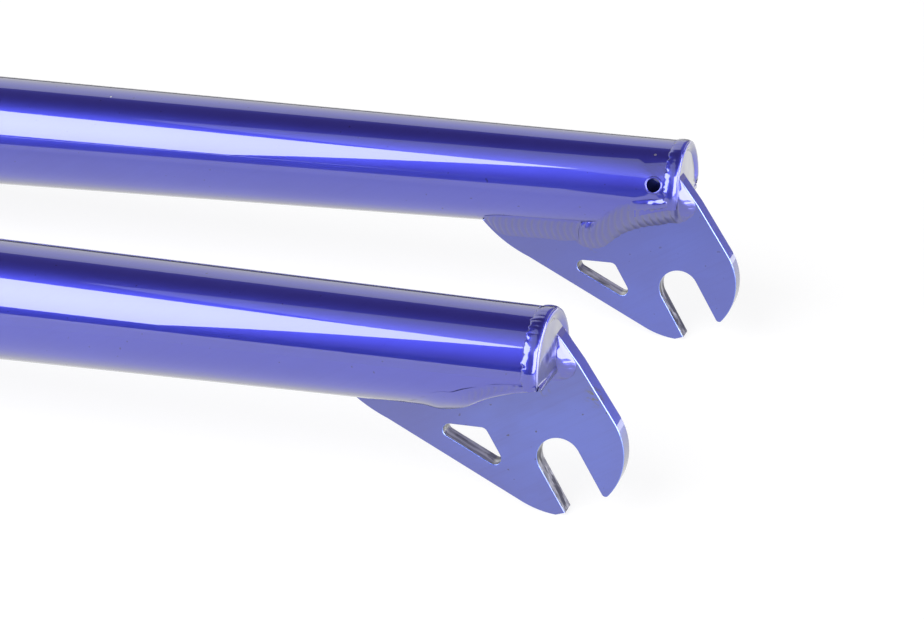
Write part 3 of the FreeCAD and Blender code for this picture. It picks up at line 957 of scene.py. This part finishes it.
def makeRimBead(word):
    spec = rimBead
    rows = []
    for i in range(spec["steps"] + 1):
        angle = math.radians(spec["from"] + (spec["to"] - spec["from"]) * i / spec["steps"])
        degrees = math.degrees(angle)
        arcLength = angle * blade["endRadius"]
        full = riseAndFall(degrees, spec["grows"], spec["shrinks"])
        rippled = bellCurve(degrees, spec["rippledAt"], spec["rippledWidth"])
        crest = ripple(arcLength / spec["pitch"] + 0.35 * math.sin(arcLength * 0.31))
        waver = sum(size * math.sin(arcLength * pace + start) for size, pace, start in spec["wavers"])
        row = []
        for k, (along, rise) in enumerate(spec["section"]):
            backness = max(0.0, 1 - k / 6)
            body = math.sin(math.pi * k / 8) if k < 8 else 0.0
            place = along - waver * backness + 0.2 * (crest - 0.5) * backness
            lift = rise + (0.02 + 0.07 * rippled) * (crest - 0.6) * body
            lift += 0.05 * math.sin(arcLength * 1.1) * body
            reach = bladeRadius(min(along, 0)) + lift
            reach -= 0.12 * (1 - full) if 1 < k < 9 else 0.0
            place -= 0.35 * (1 - full) ** 2 if k > 5 else 0.0
            shine = bellCurve(k, spec["shineRow"], spec["shineWidth"])
            # a painted highlight along one row of the section
            pale = 0.35 * shine * (1 - smoothStep(degrees, *spec["shineEnds"]))
            haze = (1 - crest) * 0.3 * body * rippled
            row.append((place, reach * math.cos(angle), reach * math.sin(angle), haze, pale))
        rows.append(row)
    # both ends are closed by drawing them together to one point
    for row, index in ((rows[0], 0), (rows[-1], len(rows) + 1)):
        out, up = (sum(point[k] for point in row) / len(row) for k in (1, 2))
        rows.insert(index, [(-1.4, out, up, 0.0, 0.0)] * len(row))
    weldPiece(word, "RimBead", rows, "rim_weld")


cap = {
    "radius": 9.6,
    "lowest": -3.0,
    "highest": 9.55,
    "middle": 0.05,          # how far its middle stands out of the blade's end
    "dome": 0.3,             # how much further in its rim lies
    "leanUp": 0.018,
    "leanOut": 0.012,
    "turnsUpUnder": -1.3,
    "turnUp": 0.5,
    "furthest": 0.3,
    "unevenness": 0.03,
    "steps": 56,
    "columns": 48,
}


def makeCap(word):
    # end cap, a little domed, with its low edge turned up where it meets the cope
    rows = []
    steps, columns = cap["steps"], cap["columns"]
    for i in range(steps + 1):
        up = cap["lowest"] + (cap["highest"] - cap["lowest"]) * i / steps
        wide = math.sqrt(max(0.0, cap["radius"] ** 2 - up ** 2))
        row = []
        for k in range(columns + 1):
            out = wide * (2 * k / columns - 1)
            reach = math.hypot(out, max(up, 0.0)) / cap["radius"]
            along = cap["middle"] - cap["dome"] * reach ** 2 - cap["leanUp"] * up - cap["leanOut"] * out
            along += cap["turnUp"] * max(0.0, cap["turnsUpUnder"] - up) ** 2
            along += cap["unevenness"] * math.sin(out * 0.9) * math.sin(up * 0.8)
            row.append((min(along, cap["furthest"]), out, up, 0.0))
        rows.append(row)
    gridPiece(word + "Cap", word, rows, capPaint, [word + "_end_cap"])


# stations: height, then along and reach from the plate's face on the cap's side, then along on the plate's side
capBead = {
    "stations": [
        (-5.7, -1.9, 0.1, 0.2), (-5.0, -1.3, 0.4, 2.5), (-3.8, -0.8, 0.9, 3.7), (-2.4, -0.6, 1.5, 4.2),
        (-1.2, -0.5, 1.8, 4.1), (-0.2, -0.45, 1.95, 3.5), (0.9, -0.3, 1.75, 2.75), (2.2, -0.2, 1.3, 1.8),
        (3.2, -0.1, 0.8, 1.15), (4.1, 0.0, 0.35, 0.5), (4.6, 0.0, 0.05, 0.2)],
    "steps": 110, "columns": 26, "pitch": 1.6, "height": 0.10,
    "ripplesEnd": (-1.0, 0.8),
    "crown": 0.32, "bulge": 0.25, "unevenness": 0.06,
    "capTuck": 0.5, "plateTuck": 0.3,    # how far its rims lie under the cap and the plate
    "hazeEnds": (-2.0, 0.0), "shineStarts": (-3.0, -1.0),
}


def makeCapBead(word, sign, face):
    spec = capBead
    rows = []
    stations, steps, columns = spec["stations"], spec["steps"], spec["columns"]
    for i in range(steps + 1):
        up = stations[0][0] + (stations[-1][0] - stations[0][0]) * i / steps
        left, reach, right = blended(stations, up, 0.5)
        crest = ripple(up / spec["pitch"] + 0.3)
        wave = spec["height"] * (crest - 0.5) * (1 - smoothStep(up, *spec["ripplesEnd"]))
        haze = 0.25 * (1 - smoothStep(up, *spec["hazeEnds"]))
        row = []
        for k in range(columns + 1):
            t = k / columns
            swell = math.sin(math.pi * t) ** 0.8
            along = left + (right - left) * t + spec["bulge"] * swell * min(1.0, reach)
            off = reach * (1 - t) + spec["crown"] * swell * min(1.0, reach) + wave * swell
            off += spec["unevenness"] * math.sin(along * 2.3 + up * 1.7) * swell
            if k == 0:
                along -= spec["capTuck"]
            if k == columns:
                off -= spec["plateTuck"]
            # a painted highlight along the bead's side by the cap
            pale = 0.6 * bellCurve(k, 1.5, 1.0) * smoothStep(up, *spec["shineStarts"])
            row.append((along, face + sign * off, up, haze, pale))
        rows.append(row)
    if sign > 0:
        weldPiece(word, "OuterCapBead", rows[::-1], "outer_cap_weld")
    else:
        weldPiece(word, "InnerCapBead", rows, "inner_cap_weld")


vent = {
    "around": 19.3,          # degrees over level, on the blade's inner side
    "along": -5.95,
    "radius": 2.0,
    "edge": (0.3, 0.26),     # half width and half height of the rounded edge
    "sunk": 0.06,
    "steps": 48,
    "edgeSteps": 12,
}


def makeVentEdge(word):
    # rounded paint edge of the vent hole
    around = math.radians(vent["around"])
    way = Vector((-math.cos(around), math.sin(around)))
    rows = []
    for i in range(vent["steps"] + 1):
        turn = math.tau * i / vent["steps"]
        row = []
        for k in range(vent["edgeSteps"] + 1):
            tube = math.tau * k / vent["edgeSteps"]
            ring = vent["radius"] + vent["edge"][0] * math.cos(tube)
            along = vent["along"] + ring * math.cos(turn)
            sideways = ring * math.sin(turn)
            skin = math.sqrt(bladeRadius(along) ** 2 - sideways ** 2)
            depth = skin - vent["sunk"] + vent["edge"][1] * math.sin(tube)
            point = way * depth + Vector((way.y, -way.x)) * sideways
            row.append((along, point.x, point.y, 0.0))
        rows.append(row)
    gridPiece(word + "VentEdge", word, rows, bladePaint, [])


makePlates()
for word in sides:
    makeInnerBead(word, innerSeam)
    makeInnerBead(word, innerCope)
    makeOuterCope(word)
    makeOuterSeam(word)
    makeRimBead(word)
    makeCap(word)
    makeCapBead(word, 1, outerFace)
    makeCapBead(word, -1, innerFace)
    makeVentEdge(word)
print("plates and beads made")

# studio: white table, softbox, dimmer panel and walls that only reflections see, and dark surroundings
studio = {
    "tableSize": 14.0,
    "tableGrey": 0.20,
    "tableGlow": 0.848,
    "whiteInView": 0.60,     # added to the world's light where the camera or a reflection sees it
    "whiteLight": 0.40,
    "aim": (0.17, 0.0, 0.04),
    "softbox": {
        "colour": (4.8, 5.05, 5.6), "distance": 1.0,
        "corners": [(-0.75, 0.455), (0.19, 0.218), (0.157, -0.475), (-0.75, -0.30)]},
    "panel": {
        "colour": (0.72, 0.72, 0.72), "distance": 1.02,
        "corners": [(-0.312, 0.535), (-0.06, 1.15), (0.9, 0.9), (0.55, -0.10)]},
    "lamp": {"power": 24.0, "size": 1.3, "distance": 1.25},
    "ceiling": {"colour": (0.10, 0.065, 0.14), "radius": 2.6, "from": 8.0, "to": 123.0, "half": 6},
    "wallMiddle": 0.2,
    "wall": {"colour": (5.4, 5.4, 5.5), "radius": 1.5, "from": 14.0, "to": 128.0, "low": 0.07, "high": 1.3},
    "backWall": {
        "colour": (0.26, 0.24, 0.62), "radius": 1.5, "from": 128.0, "to": 178.0, "low": 0.002, "high": 4.0},
    "sheet": {"colour": (2.3, 2.3, 2.3), "x": (0.337, 3.5), "y": (-0.3, 3.0), "z": 0.0008},
    "horizon": {"radius": 3.2, "low": 0.001, "high": 0.42},
    "darkFront": {"x": (-4, 4), "y": (-0.55, -3.2), "z": 0.002},
}
lightWay = Vector((-0.45, -0.72, 0.53)).normalized()
lightAcross = Vector((0, 0, 1)).cross(lightWay).normalized()
lightUp = lightWay.cross(lightAcross)


def cameraMask(tree):
    # 1 for rays that should see the plain white background
    path = addNode(tree, "ShaderNodeLightPath")
    seen = mathNode(tree, "MAXIMUM", path.outputs["Is Camera Ray"], path.outputs["Is Glossy Ray"])
    return mathNode(tree, "MAXIMUM", seen, path.outputs["Is Transmission Ray"])


def makeWorld():
    world = bpy.data.worlds.new("studioWorld")
    bpy.context.scene.world = world
    world.use_nodes = True
    tree = world.node_tree
    background = tree.nodes["Background"]
    background.inputs["Color"].default_value = (1, 1, 1, 1)
    strength = mathNode(tree, "MULTIPLY_ADD", cameraMask(tree), studio["whiteInView"], studio["whiteLight"])
    tree.links.new(strength, background.inputs["Strength"])


def stagePiece(name, verts, faces, material):
    mesh = bpy.data.meshes.new(name)
    mesh.from_pydata(verts, [], faces)
    mesh.materials.append(material)
    piece = newObject(name, mesh)
    return piece


def glowMaterial(name, colour):
    material, shader = newMaterial(name)
    brightest = max(colour)
    tint = (*(c / (brightest or 1) for c in colour), 1)
    setValues(shader, {"Base Color": (0, 0, 0, 1), "Specular IOR Level": 0.0})
    setValues(shader, {"Emission Color": tint, "Emission Strength": brightest})
    return material


def reflectedPiece(name, verts, faces, material=None):
    # only reflections see it, in the given material or glowing in its own colour
    piece = stagePiece(name, verts, faces, material or glowMaterial(name, studio[name]["colour"]))
    for kind in ("camera", "diffuse", "shadow", "transmission"):
        setattr(piece, "visible_" + kind, False)


def levelCorners(x, y, z):
    return [(x[i], y[j], z) for i, j in ((0, 0), (1, 0), (1, 1), (0, 1))]


def makeTable():
    half = (-studio["tableSize"] / 2, studio["tableSize"] / 2)
    material, shader = newMaterial("tableWhite")
    tree = material.node_tree
    grey = studio["tableGrey"]
    setValues(shader, {"Base Color": (grey, grey, grey, 1), "Roughness": 0.9})
    setValues(shader, {"Specular IOR Level": 0.1, "Emission Color": (1, 1, 1, 1)})
    glow = times(tree, cameraMask(tree), studio["tableGlow"])
    tree.links.new(glow, shader.inputs["Emission Strength"])
    stagePiece("table", levelCorners(half, half, 0), [(0, 1, 2, 3)], material)


def makePanel(name):
    spec = studio[name]
    aim = Vector(studio["aim"])
    offsets = [lightWay + lightAcross * across + lightUp * up for across, up in spec["corners"]]
    verts = [aim + offset * spec["distance"] for offset in offsets]
    reflectedPiece(name, verts, [(0, 1, 2, 3)])


def makeWall(name):
    # curved wall round the fork's right-hand side, measured from the front
    spec = studio[name]
    steps = 30
    verts = []
    for i in range(steps + 1):
        angle = math.radians(spec["from"] + (spec["to"] - spec["from"]) * i / steps)
        x, y = studio["wallMiddle"] + spec["radius"] * math.sin(angle), -spec["radius"] * math.cos(angle)
        verts += [(x, y, spec["low"]), (x, y, spec["high"])]
    faces = [(2 * i, 2 * i + 2, 2 * i + 3, 2 * i + 1) for i in range(steps)]
    reflectedPiece(name, verts, faces)


def makeSheet():
    # the table to the right of the fork is brighter than the camera can show
    spec = studio["sheet"]
    verts = levelCorners(spec["x"], spec["y"], spec["z"])
    reflectedPiece("sheet", verts, [(0, 1, 2, 3)])


def makeLamp():
    spec = studio["lamp"]
    data = bpy.data.lights.new("lamp", "AREA")
    data.shape = "DISK"
    data.size = spec["size"]
    data.energy = spec["power"]
    light = newObject("lamp", data)
    light.location = Vector(studio["aim"]) + lightWay * spec["distance"]
    light.rotation_euler = lightWay.to_track_quat("Z", "Y").to_euler()
    light.visible_camera = False
    light.visible_glossy = False


def makeCeiling():
    # arch over the table, from the front to the back
    spec = studio["ceiling"]
    steps = 40
    low, high = math.radians(spec["from"]), math.radians(spec["to"])
    verts = []
    for i in range(steps + 1):
        angle = low + (high - low) * i / steps
        y, z = -spec["radius"] * math.cos(angle), spec["radius"] * math.sin(angle)
        verts += [(-spec["half"], y, z), (spec["half"], y, z)]
    faces = [(2 * i, 2 * i + 1, 2 * i + 3, 2 * i + 2) for i in range(steps)]
    reflectedPiece("ceiling", verts, faces)


def makeDarkParts():
    # a dark strip round the horizon, and a dark front from the table's edge on
    dark = glowMaterial("dark", (0.0, 0.0, 0.0))
    spec, front = studio["horizon"], studio["darkFront"]
    steps = 64
    verts, faces = [], []
    for i in range(steps):
        angle = math.tau * i / steps
        x, y = spec["radius"] * math.cos(angle), spec["radius"] * math.sin(angle)
        verts += [(x, y, spec["low"]), (x, y, spec["high"])]
        a, b = 2 * i, 2 * ((i + 1) % steps)
        faces.append((a, b, b + 1, a + 1))
    reflectedPiece("horizon", verts, faces, dark)
    verts = levelCorners(front["x"], front["y"], front["z"])
    reflectedPiece("darkFront", verts, [(0, 1, 2, 3)], dark)


makeWorld()
makeTable()
makePanel("softbox")
makePanel("panel")
makeWall("wall")
makeWall("backWall")
makeSheet()
makeLamp()
makeCeiling()
makeDarkParts()
print("studio made")

# camera at the photograph's viewing angle
view = {
    "azimuth": 18.377,
    "elevation": 22.558,
    "roll": 0.708,
    "distance": 0.64478,
    "aim": (0.192588, 0.0, 0.021846),
    "lens": 105.333,
}


def makeCamera():
    data = bpy.data.cameras.new("viewCamera")
    data.lens = view["lens"]
    data.sensor_width = 36.0
    data.clip_start = 0.01
    data.clip_end = 60.0
    camera = newObject("viewCamera", data)
    az, el = math.radians(view["azimuth"]), math.radians(view["elevation"])
    back = Vector((math.sin(az) * math.cos(el), -math.cos(az) * math.cos(el), math.sin(el)))
    right = Vector((math.cos(az), math.sin(az), 0))
    up = back.cross(right)
    turn = Matrix((right, up, back)).transposed() @ Matrix.Rotation(math.radians(view["roll"]), 3, "Z")
    camera.matrix_world = Matrix.Translation(Vector(view["aim"]) + back * view["distance"]) @ turn.to_4x4()
    bpy.context.scene.camera = camera


makeCamera()
bpy.context.scene.view_settings.view_transform = "Standard"

print("scene ready")
